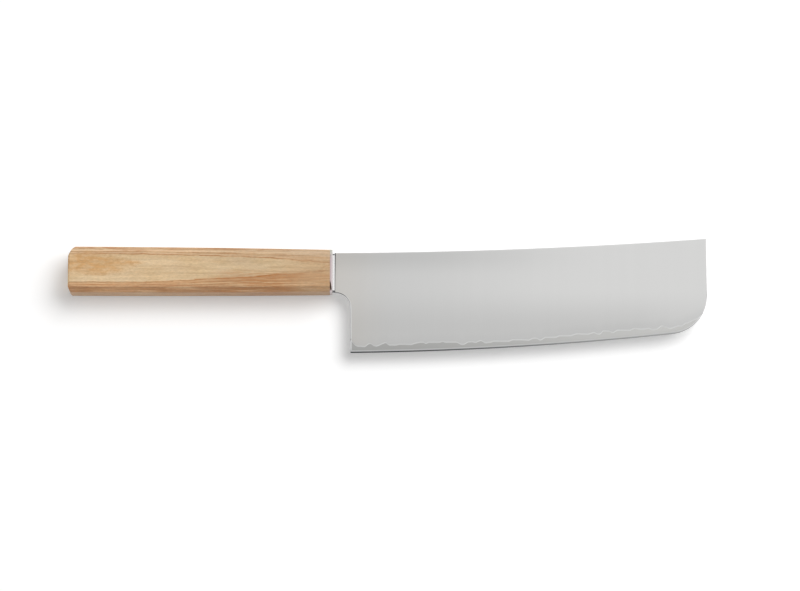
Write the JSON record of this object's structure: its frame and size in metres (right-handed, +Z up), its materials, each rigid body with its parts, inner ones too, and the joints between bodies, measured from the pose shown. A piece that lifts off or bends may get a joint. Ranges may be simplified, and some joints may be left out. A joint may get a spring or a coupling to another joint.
{
  "type": "nakiri knife",
  "caption": "Straight-edged vegetable knife with a laminated steel blade, a wavy cladding line, a thin metal ferrule and a pale eight-sided wood handle.",
  "frame": {"origin": "centre of the handle's flat underside, the face that the knife lies on", "axes": "+X from the butt to the nose, +Y from the cutting edge to the spine, +Z up, square to the blade's middle plane"},
  "size_m": [0.2956, 0.0543, 0.0162],
  "materials": {
    "core_steel": "satin, ground, darker than the cladding",
    "cladding": "fine satin",
    "ferrule": "polished stainless steel",
    "handle_wood": "pale open-grained wood, sanded, thin oil",
    "adhesive": "cured, hidden"
  },
  "bodies": {
    "root": {"core_steel": "core_steel", "cladding_front": "cladding", "cladding_back": "cladding", "ferrule": "ferrule", "handle": "handle_wood", "tang_adhesive": "adhesive"}
  },
  "joints": []
}
